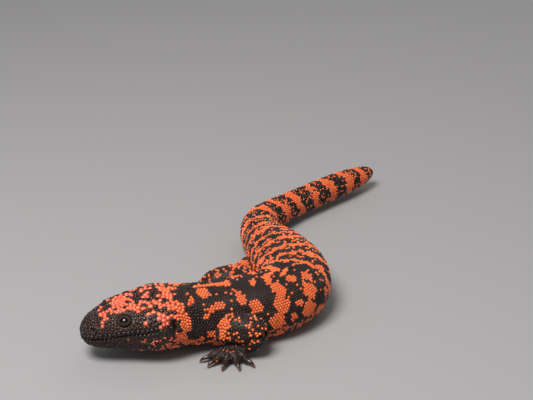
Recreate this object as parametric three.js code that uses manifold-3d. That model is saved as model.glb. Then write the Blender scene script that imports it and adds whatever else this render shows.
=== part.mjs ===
// Gila monster, life size, lying on its belly with the body bent in an S.
// Millimetres, +Z up. The floor is z = 0 and the origin is the middle of the box on the floor.
// While it is shaped, X runs to the tail's side, Y away from the left flank, and the snout is at SNOUT.
import * as THREE from "three";
import { mergeVertices } from "three/addons/utils/BufferGeometryUtils.js";
import Module from "manifold-3d";

const wasm = await Module();
wasm.setup();

// Driving dimensions
const TOTAL_LENGTH = 400; // snout to tail tip, along the back
const SNOUT = [-91.4, -15.4];
const GAP = 0.3; // between pieces that touch
const FINENESS = 0.15; // edges shorter than this are left out
const SECTION_POWER = 2.3; // above 2 makes the cross-section squarer than an ellipse
const CROWN_POWER = 2.9; // the same for the top of the head
const STUD_HEIGHT = 0.8; // a bead of the hide over the skin
const PLATE_HEIGHT = 1.0; // a plate on the crown of the head
const FLOOR_PRESS = 1.2; // how far the underside is pressed flat
const INNER_SQUEEZE = 0.2; // how much the flank inside a bend gives way

// Direction in which the back runs, in degrees from +X: [distance from the snout, heading].
const HEADINGS = [
  [0, 14], [55, 17], [88, 18], [104, 20], [121, 29], [145, 62], [168, 95], [190, 106],
  [222, 110], [244, 103], [262, 81], [282, 53], [330, 45], [400, 43],
];

// Cross-sections of the body: [distance from the snout, half width, half height, height of the lowest point].
const SECTIONS = [
  [0, 1.4, 1.4, 18.4], [1.5, 7, 6.1, 13.5], [5, 10.8, 9, 11], [13, 14.8, 12.4, 8.6],
  [26, 19.2, 15, 7], [40, 24, 17, 4.8], [51, 25.6, 17.9, 4.4], [64, 22.8, 18.4, 3.6],
  [76, 21, 19.2, 1.8], [92, 21.6, 20.4, -FLOOR_PRESS], [112, 23.6, 20.6, -FLOOR_PRESS],
  [130, 25, 20.6, -FLOOR_PRESS], [150, 26.4, 20.6, -FLOOR_PRESS], [175, 25.4, 20, -FLOOR_PRESS],
  [205, 21.8, 18.4, -FLOOR_PRESS], [232, 17, 16, -FLOOR_PRESS], [255, 14.4, 13.8, 0.2],
  [280, 11.8, 11.2, 3], [315, 10, 9.8, 4.2], [358, 9.6, 9.4, 4.6],
  [382, 7.8, 7.6, 6.2], [394, 5.2, 5.2, 8.6], [TOTAL_LENGTH, 1, 1, 12.6],
];

// Nodes along the body: [name, start, end, beads across the back and sides]. The first is the head.
const LENGTHS = [
  ["head", 0, 66, 22],
  ["neck", 66, 84, 24],
  ["chest", 84, 112, 26],
  ["trunk_front", 112, 138, 26],
  ["trunk_middle", 138, 166, 26],
  ["trunk_rear", 166, 208, 26],
  ["hips", 208, 250, 24],
  ["tail_root", 250, 274, 20],
  ["tail_front", 274, 300, 18],
  ["tail_middle", 300, 344, 16],
  ["tail_tip", 344, TOTAL_LENGTH, 16],
];
const RING_STEP = 4.5;
const BEADED_ARC = 118; // degrees down from the middle of the back on each side
const BELLY_SIDES = 5;

// Head
const EYE = { at: 25.5, angle: 49, radius: 3, sunk: 2.2 };
const LID = { radius: 3.4, thickness: 1.1 };
const BROW = { angle: 34, radius: 2.4, sunk: 1.3 };
const NOSTRIL = { at: 6.5, angle: 57, radius: 1.2 };
const EAR = { at: 56, angle: 70, long: 3.6, wide: 1.7 };
const MOUTH = { corner: 45, frontAngle: 98, cornerAngle: 74, height: 0.9, depth: 1.6 };
const LIP = { thickness: 1.6, offset: 8 };

// Limbs: each joint is [x, y, z, radius].
const LIMBS = {
  fore_left: {
    upper: [[0, -4, 16, 10.4], [8, -9.5, 19, 10.6], [19, -12.5, 18.5, 9.6]],
    lower: [[20, -12.5, 17.8, 9.2], [17.5, -12.5, 12, 8], [12, -13, 7, 6.6]],
    palm: [[12, -13, 6.5, 6.4], [4.5, -15.5, 5, 6.4]],
    spread: [[197, 14.6], [220, 13], [251, 11], [288, 11], [320, 13]],
  },
  fore_right: {
    upper: [[5, 28, 18, 10.6], [11, 41, 21, 10], [8, 51, 23, 9.2]],
    lower: [[8, 51, 22.5, 9], [-8, 51, 19.5, 8.8], [-20, 47, 8, 6.8]],
    palm: [[-20, 47, 6.5, 6.4], [-28, 45, 5, 6.4]],
    spread: [[118, 13], [150, 14], [178, 14], [203, 14], [236, 13]],
  },
  hind_left: {
    upper: [[32, 110, 12.5, 10.4], [44, 108, 12.5, 10], [53, 102, 11.5, 9.2]],
    lower: [[54, 101, 11, 8.8], [57, 103.5, 9, 7.8], [58.5, 105, 6.6, 6.4]],
    palm: [[58.5, 105, 6.5, 6.2], [60.5, 98, 5, 6.2]],
    spread: [[-39, 8.8], [-56, 11.5], [-70, 11.8], [-84, 10.8], [-101, 8.6]],
  },
  hind_right: {
    upper: [[27, 106, 11.5, 9.8], [19, 96, 10, 8.8], [11, 86, 9, 8.2]],
    lower: [[10, 84, 8.4, 7.6], [4, 78, 7.4, 7], [-2, 74, 6.4, 6.2]],
    palm: [[-2, 74, 6.3, 6], [-7, 69, 5, 6]],
    spread: [[168, 9], [188, 12], [207, 13], [226, 12], [247, 8.5]],
  },
};
const LIMB_SIDES = 12;
const LIMB_RING = 4.2;
const PALM_FLATNESS = 0.72;
const FINGER = { root: 3.4, tip: 2.3, arch: 6.2, lift: 1.3, sides: 5 };
const CLAW = { root: 1.75, tip: 0.32, length: 6.4, drop: 3.4, sides: 5, steps: 3 };

// Colours
const CORAL = 0xe8683f;
const BLACK_HIDE = 0x241c1a;
const MOTTLED_HIDE = 0x8a4430;
const HORN = 0x4a2414;
const EYE_BLACK = 0x0b0a0a;

const radians = (degrees) => (degrees * Math.PI) / 180;
const finish = (color, roughness) => new THREE.MeshStandardMaterial({ color, roughness, metalness: 0 });
const HIDE = finish(MOTTLED_HIDE, 0.45);
const FINISHES = {
  head: finish(CORAL, 0.45),
  hand: finish(BLACK_HIDE, 0.5),
  claw: finish(HORN, 0.3),
  eye: finish(EYE_BLACK, 0.08),
};

// A smooth line through the stations of a table, without overshoot.
function along(table, at, column) {
  const last = table.length - 1;
  if (at <= table[0][0]) return table[0][column];
  if (at >= table[last][0]) return table[last][column];
  const i = table.findIndex((row, n) => n < last && at < table[n + 1][0]);
  const rise = (n) => (table[n + 1][column] - table[n][column]) / (table[n + 1][0] - table[n][0]);
  const slope = (n) => {
    if (n === 0) return rise(0);
    if (n === last) return rise(last - 1);
    const before = rise(n - 1);
    const after = rise(n);
    return before * after <= 0 ? 0 : (2 * before * after) / (before + after);
  };
  const span = table[i + 1][0] - table[i][0];
  const t = (at - table[i][0]) / span;
  const t2 = t * t;
  const t3 = t2 * t;
  return (
    (2 * t3 - 3 * t2 + 1) * table[i][column] +
    (t3 - 2 * t2 + t) * span * slope(i) +
    (3 * t2 - 2 * t3) * table[i + 1][column] +
    (t3 - t2) * span * slope(i + 1)
  );
}

// The back's course over the floor, one point for each millimetre.
const COURSE = [{ x: SNOUT[0], y: SNOUT[1], heading: radians(HEADINGS[0][1]) }];
for (let at = 0; at < TOTAL_LENGTH; at++) {
  const middle = radians(along(HEADINGS, at + 0.5, 1));
  const before = COURSE[at];
  COURSE.push({
    x: before.x + Math.cos(middle),
    y: before.y + Math.sin(middle),
    heading: radians(along(HEADINGS, at + 1, 1)),
  });
}

function courseAt(at) {
  const held = Math.min(Math.max(at, 0), TOTAL_LENGTH);
  const i = Math.min(Math.floor(held), TOTAL_LENGTH - 1);
  const t = held - i;
  const mix = (key) => COURSE[i][key] * (1 - t) + COURSE[i + 1][key] * t;
  const bend = COURSE[i + 1].heading - COURSE[i].heading;
  return { x: mix("x"), y: mix("y"), heading: mix("heading"), bend };
}

// How much of the head's flat crown there is at a station.
const crownShare = (at) => THREE.MathUtils.smoothstep(at, 4, 18) * (1 - THREE.MathUtils.smoothstep(at, 48, 76));

// A point of the hide. The angle is 0 on the back, positive on the right flank and negative on the left.
function hidePoint(at, angle, raised = 0) {
  const { x, y, heading, bend } = courseAt(at);
  const halfWidth = along(SECTIONS, at, 1);
  const halfHeight = along(SECTIONS, at, 2);
  const centre = along(SECTIONS, at, 3) + halfHeight;
  const up = Math.cos(radians(angle));
  const side = Math.sin(radians(angle));
  const power = up > 0 ? SECTION_POWER + (CROWN_POWER - SECTION_POWER) * crownShare(at) : SECTION_POWER;
  const reach = (Math.abs(up) ** power + Math.abs(side) ** power) ** (-1 / power);
  const squeeze = bend * side > 0 ? 1 - INNER_SQUEEZE * Math.abs(bend) * halfWidth : 1;
  const lateral = (halfWidth * squeeze + raised) * side * reach;
  const vertical = (halfHeight + raised) * up * reach;
  return new THREE.Vector3(
    x - Math.sin(heading) * lateral,
    y + Math.cos(heading) * lateral,
    Math.max(0, centre + vertical),
  );
}

// The direction out of the hide at a point.
function hideNormal(at, angle) {
  const ahead = hidePoint(at + 1, angle).sub(hidePoint(at - 1, angle));
  const round = hidePoint(at, angle + 3).sub(hidePoint(at, angle - 3));
  return ahead.cross(round).normalize();
}

// Rings of points, joined and closed at both ends, as a solid.
function solidFromRings(rings) {
  const sides = rings[0].length;
  const points = rings.flat();
  const faces = [];
  for (let r = 0; r + 1 < rings.length; r++) {
    for (let j = 0; j < sides; j++) {
      const k = (j + 1) % sides;
      const [a, b, c, d] = [r * sides + j, r * sides + k, (r + 1) * sides + k, (r + 1) * sides + j];
      if ((r + j) % 2) faces.push(a, b, c, a, c, d);
      else faces.push(a, b, d, b, c, d);
    }
  }
  for (const [first, turned] of [[0, true], [(rings.length - 1) * sides, false]]) {
    const middle = points.slice(first, first + sides).reduce((sum, p) => sum.add(p), new THREE.Vector3());
    points.push(middle.divideScalar(sides));
    for (let j = 0; j < sides; j++) {
      const pair = [first + j, first + ((j + 1) % sides)];
      faces.push(points.length - 1, ...(turned ? pair.reverse() : pair));
    }
  }
  return solidFromFaces(points, faces);
}

function solidFromFaces(points, faces) {
  const geometry = new THREE.BufferGeometry().setFromPoints(points).setIndex(faces);
  return solidOf(geometry);
}

function solidOf(geometry) {
  const bare = geometry.clone();
  bare.deleteAttribute("normal");
  bare.deleteAttribute("uv");
  const merged = mergeVertices(bare, 1e-4);
  const made = new wasm.Manifold(
    new wasm.Mesh({
      numProp: 3,
      vertProperties: new Float32Array(merged.attributes.position.array),
      triVerts: new Uint32Array(merged.index.array),
    }),
  );
  if (made.volume() > 0) return made;
  const turned = merged.index.array;
  for (let i = 0; i < turned.length; i += 3) [turned[i], turned[i + 1]] = [turned[i + 1], turned[i]];
  return new wasm.Manifold(
    new wasm.Mesh({
      numProp: 3,
      vertProperties: new Float32Array(merged.attributes.position.array),
      triVerts: new Uint32Array(turned),
    }),
  );
}

// The largest closed surface of a solid, so that no scrap or sealed hollow stays.
function largest(solid) {
  return solid.decompose().sort((a, b) => b.volume() - a.volume())[0];
}

// Height of the bead or crown plate at a place of the hide's grid, which alternates like a chessboard.
function beadHeight(at, angle, isBead) {
  if (!isBead || Math.abs(angle) > BEADED_ARC - 8) return 0;
  if (at > 64) return STUD_HEIGHT;
  const onCrown = at > 9 && Math.abs(angle) < 52;
  const onCheek = at > 33 && at < 62 && Math.abs(angle) < 92;
  return onCrown || onCheek ? PLATE_HEIGHT : 0;
}

// One length of the body between two stations. Grown, it is the room that its neighbours keep clear of.
function bodyLength(start, end, across, grown = 0) {
  const rings = [];
  const steps = Math.max(2, Math.round((end - start) / RING_STEP));
  const from = start === 0 ? 0.2 : start;
  const to = end === TOTAL_LENGTH ? end - 0.2 : end;
  for (let r = 0; r <= steps; r++) {
    const share = r / steps;
    // The blunt ends of the snout and tail need closer rings.
    const eased = start === 0 ? share ** 1.5 : end === TOTAL_LENGTH ? 1 - (1 - share) ** 1.5 : share;
    const at = from + (to - from) * eased;
    const ring = [];
    for (let j = 0; j <= across; j++) {
      const angle = -BEADED_ARC + (2 * BEADED_ARC * j) / across;
      const inside = r > 0 && r < steps;
      ring.push(hidePoint(at, angle, grown + beadHeight(at, angle, inside && (r + j) % 2 === 0)));
    }
    for (let j = 1; j < BELLY_SIDES; j++) {
      const angle = BEADED_ARC + ((360 - 2 * BEADED_ARC) * j) / BELLY_SIDES;
      ring.push(hidePoint(at, angle, grown));
    }
    // The end faces of neighbours are parallel, half a gap away from the station between them.
    const shift = (r === 0 && start > 0 ? 1 : r === steps && end < TOTAL_LENGTH ? -1 : 0) * (GAP / 2 - grown);
    const { heading } = courseAt(at);
    const way = new THREE.Vector3(Math.cos(heading), Math.sin(heading), 0);
    rings.push(ring.map((point) => point.addScaledVector(way, shift)));
  }
  return solidFromRings(rings);
}

// A round bar through a few joints [x, y, z, radius], with domed ends.
function limbSolid(joints, { sides = LIMB_SIDES, step = LIMB_RING, studs = 0, grown = 0, flat = 1 } = {}) {
  const curve = new THREE.CatmullRomCurve3(joints.map(([x, y, z]) => new THREE.Vector3(x, y, z)));
  const steps = Math.max(3, Math.round(curve.getLength() / step));
  const radiusTable = joints.map(([, , , radius], i) => [i / (joints.length - 1), radius]);
  const rings = [];
  const up = new THREE.Vector3(0, 0, 1);
  const addRing = (centre, tangent, radius, odd) => {
    const side = new THREE.Vector3().crossVectors(tangent, up).normalize();
    const over = new THREE.Vector3().crossVectors(side, tangent).normalize();
    const ring = [];
    for (let j = 0; j < sides; j++) {
      const turn = (2 * Math.PI * j) / sides;
      const high = Math.sin(turn) > -0.5 && studs && (j + rings.length) % 2 === 0 && !odd;
      const reach = radius + grown + (high ? studs : 0);
      ring.push(
        centre
          .clone()
          .addScaledVector(side, Math.cos(turn) * reach)
          .addScaledVector(over, Math.sin(turn) * reach * flat),
      );
    }
    rings.push(ring);
  };
  const dome = [[0.8, 0.6], [0.45, 0.893]]; // how far out, and how wide there
  const first = curve.getPoint(0);
  const startWay = curve.getTangent(0);
  const startRadius = radiusTable[0][1];
  for (const [out, wide] of dome) {
    const centre = first.clone().addScaledVector(startWay, -(startRadius + grown) * out);
    addRing(centre, startWay, (startRadius + grown) * wide - grown, true);
  }
  for (let i = 0; i <= steps; i++) {
    const t = i / steps;
    addRing(curve.getPoint(t), curve.getTangent(t), along(radiusTable, t, 1), false);
  }
  const last = curve.getPoint(1);
  const endWay = curve.getTangent(1);
  const endRadius = radiusTable[joints.length - 1][1];
  for (const [out, wide] of dome.reverse()) {
    const centre = last.clone().addScaledVector(endWay, (endRadius + grown) * out);
    addRing(centre, endWay, (endRadius + grown) * wide - grown, true);
  }
  return solidFromRings(rings);
}

const placed = (geometry, position) => geometry.translate(position.x, position.y, position.z);

const FLOOR_BLOCK = solidOf(placed(new THREE.BoxGeometry(600, 600, 40), new THREE.Vector3(0, 0, -20)));

// Head with eye sockets, lids, mouth line, lips, nostrils and ears.
function eyeCentre(side) {
  const { at, angle, sunk } = EYE;
  return hidePoint(at, side * angle).addScaledVector(hideNormal(at, side * angle), -sunk);
}

function mouthAngle(at) {
  return MOUTH.frontAngle + (MOUTH.cornerAngle - MOUTH.frontAngle) * (at / MOUTH.corner);
}

// Places along the mouth from the left corner round the snout to the right corner.
function mouthLine() {
  const line = [];
  const stations = [45, 36, 28, 20, 13, 7, 3, 1.2];
  for (const side of [-1, 1]) {
    const half = stations.map((at) => ({ at, angle: side * mouthAngle(at) }));
    line.push(...(side < 0 ? half : half.reverse()));
  }
  return line;
}

function mouthGroove() {
  const { height, depth } = MOUTH;
  const rings = mouthLine().map(({ at, angle }, i, line) => {
    const out = hideNormal(at, angle).setZ(0).normalize();
    const place = hidePoint(at, angle);
    const open = i === 0 || i === line.length - 1 ? 0.15 : height / 2;
    const corner = (away, lift) => place.clone().addScaledVector(out, away).setZ(place.z + lift);
    return [corner(-depth, 0), corner(2.5, -open * 2.4), corner(2.5, open * 2.4)];
  });
  return solidFromRings(rings);
}

// A rounded ridge that follows the mouth line above or below it.
function lip(side, way) {
  const joints = [46, 34, 22, 12, 4].map((at, i) => {
    const angle = side * (mouthAngle(at) - way * LIP.offset);
    const place = hidePoint(at, angle).addScaledVector(hideNormal(at, angle), -0.9);
    return [place.x, place.y, place.z, LIP.thickness * (i === 0 ? 0.6 : 1)];
  });
  return limbSolid(joints, { sides: 5, step: 8 });
}

// The ridge over the eye, from the snout's side to the temple.
function brow(side) {
  const joints = [15, 21, 28, 35].map((at, i) => {
    const angle = side * (BROW.angle + (i === 1 || i === 2 ? 0 : 6));
    const place = hidePoint(at, angle).addScaledVector(hideNormal(at, angle), -BROW.sunk);
    return [place.x, place.y, place.z, BROW.radius * (i === 0 ? 0.7 : 1)];
  });
  return limbSolid(joints, { sides: 6, step: 6 });
}

function eyelid(side) {
  const ring = new THREE.TorusGeometry(LID.radius, LID.thickness, 5, 12);
  ring.scale(1.15, 0.86, 1);
  const facing = hideNormal(EYE.at, side * EYE.angle);
  const turn = new THREE.Matrix4().lookAt(facing, new THREE.Vector3(), new THREE.Vector3(0, 0, 1));
  ring.applyMatrix4(turn);
  return solidOf(placed(ring, hidePoint(EYE.at, side * EYE.angle).addScaledVector(facing, -0.3)));
}

function pit(at, angle, long, wide) {
  const hollow = new THREE.SphereGeometry(1, 8, 6);
  hollow.scale(wide, wide * 1.2, long);
  return solidOf(placed(hollow, hidePoint(at, angle).addScaledVector(hideNormal(at, angle), 0.1)));
}

function head([, start, end, across]) {
  let solid = bodyLength(start, end, across);
  for (const side of [-1, 1]) {
    solid = solid.add(eyelid(side)).add(brow(side)).add(lip(side, 1)).add(lip(side, -1));
    const socket = solidOf(placed(new THREE.SphereGeometry(EYE.radius + GAP, 14, 8), eyeCentre(side)));
    solid = solid
      .subtract(socket)
      .subtract(pit(NOSTRIL.at, side * NOSTRIL.angle, NOSTRIL.radius, NOSTRIL.radius))
      .subtract(pit(EAR.at, side * EAR.angle, EAR.long, EAR.wide));
  }
  return largest(solid.subtract(mouthGroove()));
}

const model = new THREE.Group();

function addNode(name, solid, material) {
  const mesh = largest(solid.simplify(FINENESS)).getMesh();
  const geometry = new THREE.BufferGeometry();
  geometry.setAttribute("position", new THREE.BufferAttribute(new Float32Array(mesh.vertProperties), 3));
  geometry.setIndex(new THREE.BufferAttribute(new Uint32Array(mesh.triVerts), 1));
  geometry.computeVertexNormals();
  const node = new THREE.Mesh(geometry, material);
  node.name = name;
  model.add(node);
}

function bodyNodes() {
  for (const length of LENGTHS) {
    const [name, start, end, across] = length;
    if (name === "head") addNode(name, head(length), FINISHES.head);
    else addNode(name, bodyLength(start, end, across), HIDE);
  }
  for (const [name, side] of [["eye_left", -1], ["eye_right", 1]]) {
    addNode(name, solidOf(placed(new THREE.SphereGeometry(EYE.radius, 14, 8), eyeCentre(side))), FINISHES.eye);
  }
}

// The room of every body length, which the limbs keep clear of.
const BODY_ROOM = LENGTHS.map(([, start, end, across]) => bodyLength(start, end, across, GAP));

const clearOf = (solid, rooms) => rooms.reduce((left, room) => left.subtract(room), solid);

function knuckleAndTip(limb, direction, reach) {
  const [x, y] = limb.palm[1];
  const way = new THREE.Vector3(Math.cos(radians(direction)), Math.sin(radians(direction)), 0);
  const root = new THREE.Vector3(x, y, FINGER.arch - 1).addScaledVector(way, 1);
  const knuckle = new THREE.Vector3(x, y, FINGER.arch).addScaledVector(way, reach * 0.62);
  const tip = new THREE.Vector3(x, y, FINGER.tip + FINGER.lift).addScaledVector(way, reach);
  return { root, knuckle, tip, way };
}

function fingerJoints(limb, [direction, reach]) {
  const { root, knuckle, tip } = knuckleAndTip(limb, direction, reach);
  const middle = (FINGER.root + FINGER.tip) / 2;
  return [
    [root.x, root.y, root.z, FINGER.root],
    [knuckle.x, knuckle.y, knuckle.z, middle],
    [tip.x, tip.y, tip.z, FINGER.tip],
  ];
}

function hand(limb, rooms) {
  const palm = limbSolid(limb.palm, { flat: PALM_FLATNESS, sides: 10, step: 5 });
  const fingers = limb.spread.map((finger) =>
    limbSolid(fingerJoints(limb, finger), { sides: FINGER.sides, step: 5.5 }),
  );
  return clearOf(fingers.reduce((all, finger) => all.add(finger), palm), [...rooms, FLOOR_BLOCK]);
}

// A claw that curves down out of the fingertip and ends in a point on the floor.
function claw(limb, [direction, reach]) {
  const { tip, way } = knuckleAndTip(limb, direction, reach);
  const rings = [];
  const side = new THREE.Vector3(-way.y, way.x, 0);
  for (let i = 0; i <= CLAW.steps; i++) {
    const t = i / CLAW.steps;
    const radius = CLAW.root + (CLAW.tip - CLAW.root) * t ** 0.8;
    const centre = tip.clone().addScaledVector(way, CLAW.length * Math.sin((t * Math.PI) / 2));
    centre.z = tip.z + 0.3 - CLAW.drop * (1 - Math.cos((t * Math.PI) / 2));
    const over = new THREE.Vector3(0, 0, 1).addScaledVector(way, t * 0.9).normalize();
    const ring = [];
    for (let j = 0; j < CLAW.sides; j++) {
      const turn = (2 * Math.PI * j) / CLAW.sides;
      ring.push(
        centre
          .clone()
          .addScaledVector(side, Math.cos(turn) * radius * 0.8)
          .addScaledVector(over, Math.sin(turn) * radius * 1.15),
      );
    }
    rings.push(ring);
  }
  const fingerRoom = limbSolid(fingerJoints(limb, [direction, reach]), {
    sides: FINGER.sides,
    step: 5.5,
    grown: GAP,
  });
  return clearOf(solidFromRings(rings), [fingerRoom, FLOOR_BLOCK]);
}

function limbNodes(name, limb) {
  const [upperName, lowerName, endName] = name.startsWith("fore")
    ? ["upper_arm", "forearm", "hand"]
    : ["thigh", "shank", "foot"];
  const studs = STUD_HEIGHT * 0.8;
  const upper = clearOf(limbSolid(limb.upper, { studs }), [...BODY_ROOM, FLOOR_BLOCK]);
  const upperRoom = limbSolid(limb.upper, { studs, grown: GAP });
  const lower = clearOf(limbSolid(limb.lower, { studs }), [upperRoom, ...BODY_ROOM, FLOOR_BLOCK]);
  const lowerRoom = limbSolid(limb.lower, { studs, grown: GAP });
  addNode(`${name}_${upperName}`, upper, HIDE);
  addNode(`${name}_${lowerName}`, lower, HIDE);
  addNode(`${name}_${endName}`, hand(limb, [lowerRoom, upperRoom, ...BODY_ROOM]), FINISHES.hand);
  limb.spread.forEach((finger, i) => addNode(`${name}_claw_${i + 1}`, claw(limb, finger), FINISHES.claw));
}

bodyNodes();
for (const [name, limb] of Object.entries(LIMBS)) limbNodes(name, limb);

// The origin goes to the middle of the box on the floor.
const box = new THREE.Box3().setFromObject(model);
const middle = box.getCenter(new THREE.Vector3());
model.position.set(-middle.x, -middle.y, 0);

export default model;
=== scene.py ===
"""Dresses a gila monster: one skin over the body and limbs, beads and plates on it, eyes, lids and claws.

Lengths in the tables are millimetres and are turned into metres when a mesh is made.
A place on the body is its station, the distance from the snout along the back, and its angle round the
body: 0 on the back, positive on the right flank, negative on the left flank and 180 under the belly.
"""

import itertools
import math

import bpy
import numpy as np
from bpy.props import FloatProperty, FloatVectorProperty, IntProperty, PointerProperty
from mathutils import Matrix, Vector, noise
from mathutils.bvhtree import BVHTree
from mathutils.kdtree import KDTree


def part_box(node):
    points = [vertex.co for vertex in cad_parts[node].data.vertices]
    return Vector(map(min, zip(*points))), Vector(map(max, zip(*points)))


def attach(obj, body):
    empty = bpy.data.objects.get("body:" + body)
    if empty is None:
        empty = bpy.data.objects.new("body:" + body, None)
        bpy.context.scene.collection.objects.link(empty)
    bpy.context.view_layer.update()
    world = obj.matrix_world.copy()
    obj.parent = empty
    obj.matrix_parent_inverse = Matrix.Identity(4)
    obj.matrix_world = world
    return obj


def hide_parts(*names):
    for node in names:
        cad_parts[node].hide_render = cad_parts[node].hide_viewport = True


bl_info = {
    "name": "Gila monster",
    "version": (1, 0, 0),
    "blender": (4, 5, 0),
    "location": "3D View > Sidebar > Gila",
    "description": "Skin, beads, eyes and claws of a life-size gila monster",
    "category": "Object",
}

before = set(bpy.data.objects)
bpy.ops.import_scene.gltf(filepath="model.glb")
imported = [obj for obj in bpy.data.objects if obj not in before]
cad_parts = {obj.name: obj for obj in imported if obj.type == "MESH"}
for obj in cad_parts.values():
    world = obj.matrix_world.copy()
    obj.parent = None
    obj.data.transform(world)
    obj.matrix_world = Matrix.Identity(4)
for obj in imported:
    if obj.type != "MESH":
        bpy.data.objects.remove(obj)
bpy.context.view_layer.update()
MM = 0.001
POINTS_AT_ONCE = 4000

# Shape of the body, as in the solids
TOTAL_LENGTH = 400
SNOUT = (-91.4, -15.4)
SECTION_POWER = 2.3
CROWN_POWER = 2.9
FLOOR_PRESS = 1.2
INNER_SQUEEZE = 0.2
# Stations between which the crown's squarer shape comes in and goes out again.
CROWN_STARTS = (4, 18)
CROWN_ENDS = (48, 76)

# Heading of the back in degrees: station, heading.
HEADINGS = (
    (0, 14), (55, 17), (88, 18), (104, 20), (121, 29), (145, 62), (168, 95), (190, 106),
    (222, 110), (244, 103), (262, 81), (282, 53), (330, 45), (400, 43),
)

# Cross-sections: station, half width, half height, height of the lowest point.
SECTIONS = (
    (0, 1.4, 1.4, 18.4), (1.5, 7, 6.1, 13.5), (5, 10.8, 9, 11), (13, 14.8, 12.4, 8.6),
    (26, 19.2, 15, 7), (40, 24, 17, 4.8), (51, 25.6, 17.9, 4.4), (64, 22.8, 18.4, 3.6),
    (76, 21, 19.2, 1.8), (92, 21.6, 20.4, -FLOOR_PRESS), (112, 23.6, 20.6, -FLOOR_PRESS),
    (130, 25, 20.6, -FLOOR_PRESS), (150, 26.4, 20.6, -FLOOR_PRESS), (175, 25.4, 20, -FLOOR_PRESS),
    (205, 21.8, 18.4, -FLOOR_PRESS), (232, 17, 16, -FLOOR_PRESS), (255, 14.4, 13.8, 0.2),
    (280, 11.8, 11.2, 3), (315, 10, 9.8, 4.2), (358, 9.6, 9.4, 4.6),
    (382, 7.8, 7.6, 6.2), (394, 5.2, 5.2, 8.6), (TOTAL_LENGTH, 1, 1, 12.6),
)

EYE = {"at": 25.5, "angle": 49, "radius": 3.0, "sunk": 2.2, "shrunk": 0.15}
MOUTH = {"corner": 45, "front_angle": 98, "corner_angle": 74}
NOSTRIL = {"at": 6.5, "angle": 57}
EAR = {"at": 56, "angle": 70, "half_turn": 9}

# Joints of the limbs: x, y, z, radius. Digits: direction in degrees, reach from the palm's end.
LIMBS = {
    "fore_left": {
        "upper": ((0, -4, 16, 10.4), (8, -9.5, 19, 10.6), (19, -12.5, 18.5, 9.6)),
        "lower": ((20, -12.5, 17.8, 9.2), (17.5, -12.5, 12, 8), (12, -13, 7, 6.6)),
        "palm": ((12, -13, 6.5, 6.4), (4.5, -15.5, 5, 6.4)),
        "spread": ((197, 14.6), (220, 13), (251, 11), (288, 11), (320, 13)),
    },
    "fore_right": {
        "upper": ((5, 28, 18, 10.6), (11, 41, 21, 10), (8, 51, 23, 9.2)),
        "lower": ((8, 51, 22.5, 9), (-8, 51, 19.5, 8.8), (-20, 47, 8, 6.8)),
        "palm": ((-20, 47, 6.5, 6.4), (-28, 45, 5, 6.4)),
        "spread": ((118, 13), (150, 14), (178, 14), (203, 14), (236, 13)),
    },
    "hind_left": {
        "upper": ((32, 110, 12.5, 10.4), (44, 108, 12.5, 10), (53, 102, 11.5, 9.2)),
        "lower": ((54, 101, 11, 8.8), (57, 103.5, 9, 7.8), (58.5, 105, 6.6, 6.4)),
        "palm": ((58.5, 105, 6.5, 6.2), (60.5, 98, 5, 6.2)),
        "spread": ((-39, 8.8), (-56, 11.5), (-70, 11.8), (-84, 10.8), (-101, 8.6)),
    },
    "hind_right": {
        "upper": ((27, 106, 11.5, 9.8), (19, 96, 10, 8.8), (11, 86, 9, 8.2)),
        "lower": ((10, 84, 8.4, 7.6), (4, 78, 7.4, 7), (-2, 74, 6.4, 6.2)),
        "palm": ((-2, 74, 6.3, 6), (-7, 69, 5, 6)),
        "spread": ((168, 9), (188, 12), (207, 13), (226, 12), (247, 8.5)),
    },
}
FINGER = {"root": 3.4, "tip": 2.3, "arch": 6.2, "lift": 1.3, "knuckle": 0.62, "inset": 0.4}
CLAW = {"root": 1.6, "tip": 0.25, "length": 6.4, "drop": 3.4, "dark_above": 3.2, "fade": 2.6, "sides": 10}

# Camera, at the viewing angle of a picture taken from beside the left flank
CAMERA_PLACE = (27.0, -780.0, 468.9)
CAMERA_DOWN = 25.0
CAMERA_LENS = 93.5


def along(table, at, column):
    """A smooth line through the stations of a table, without overshoot."""
    rows = np.array(table, float)
    x = rows[:, 0]
    y = rows[:, column]
    rise = np.diff(y) / np.diff(x)
    slope = np.empty(len(x))
    slope[0] = rise[0]
    slope[-1] = rise[-1]
    product = rise[:-1] * rise[1:]
    total = rise[:-1] + rise[1:]
    slope[1:-1] = np.where(product > 0, 2 * product / np.where(total == 0, 1, total), 0)
    at = np.clip(np.asarray(at, float), x[0], x[-1])
    i = np.clip(np.searchsorted(x, at, side="right") - 1, 0, len(x) - 2)
    span = x[i + 1] - x[i]
    t = (at - x[i]) / span
    return (
        (2 * t**3 - 3 * t**2 + 1) * y[i]
        + (t**3 - 2 * t**2 + t) * span * slope[i]
        + (3 * t**2 - 2 * t**3) * y[i + 1]
        + (t**3 - t**2) * span * slope[i + 1]
    )


def lengths_along(line):
    """Distance of each point of a line from its first point, along the line."""
    return np.concatenate([[0], np.cumsum(np.linalg.norm(np.diff(line, axis=0), axis=1))])


def smoothstep(x, low, high):
    t = np.clip((np.asarray(x, float) - low) / (high - low), 0, 1)
    return t * t * (3 - 2 * t)


def make_course():
    """The back's course over the floor, one point for each millimetre."""
    stations = np.arange(TOTAL_LENGTH + 1)
    middle = np.radians(along(HEADINGS, stations[:-1] + 0.5, 1))
    x = SNOUT[0] + np.concatenate([[0], np.cumsum(np.cos(middle))])
    y = SNOUT[1] + np.concatenate([[0], np.cumsum(np.sin(middle))])
    heading = np.radians(along(HEADINGS, stations, 1))
    bend = np.append(np.diff(heading), 0)
    return np.stack([x, y, heading, bend], axis=1)


COURSE = make_course()


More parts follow.
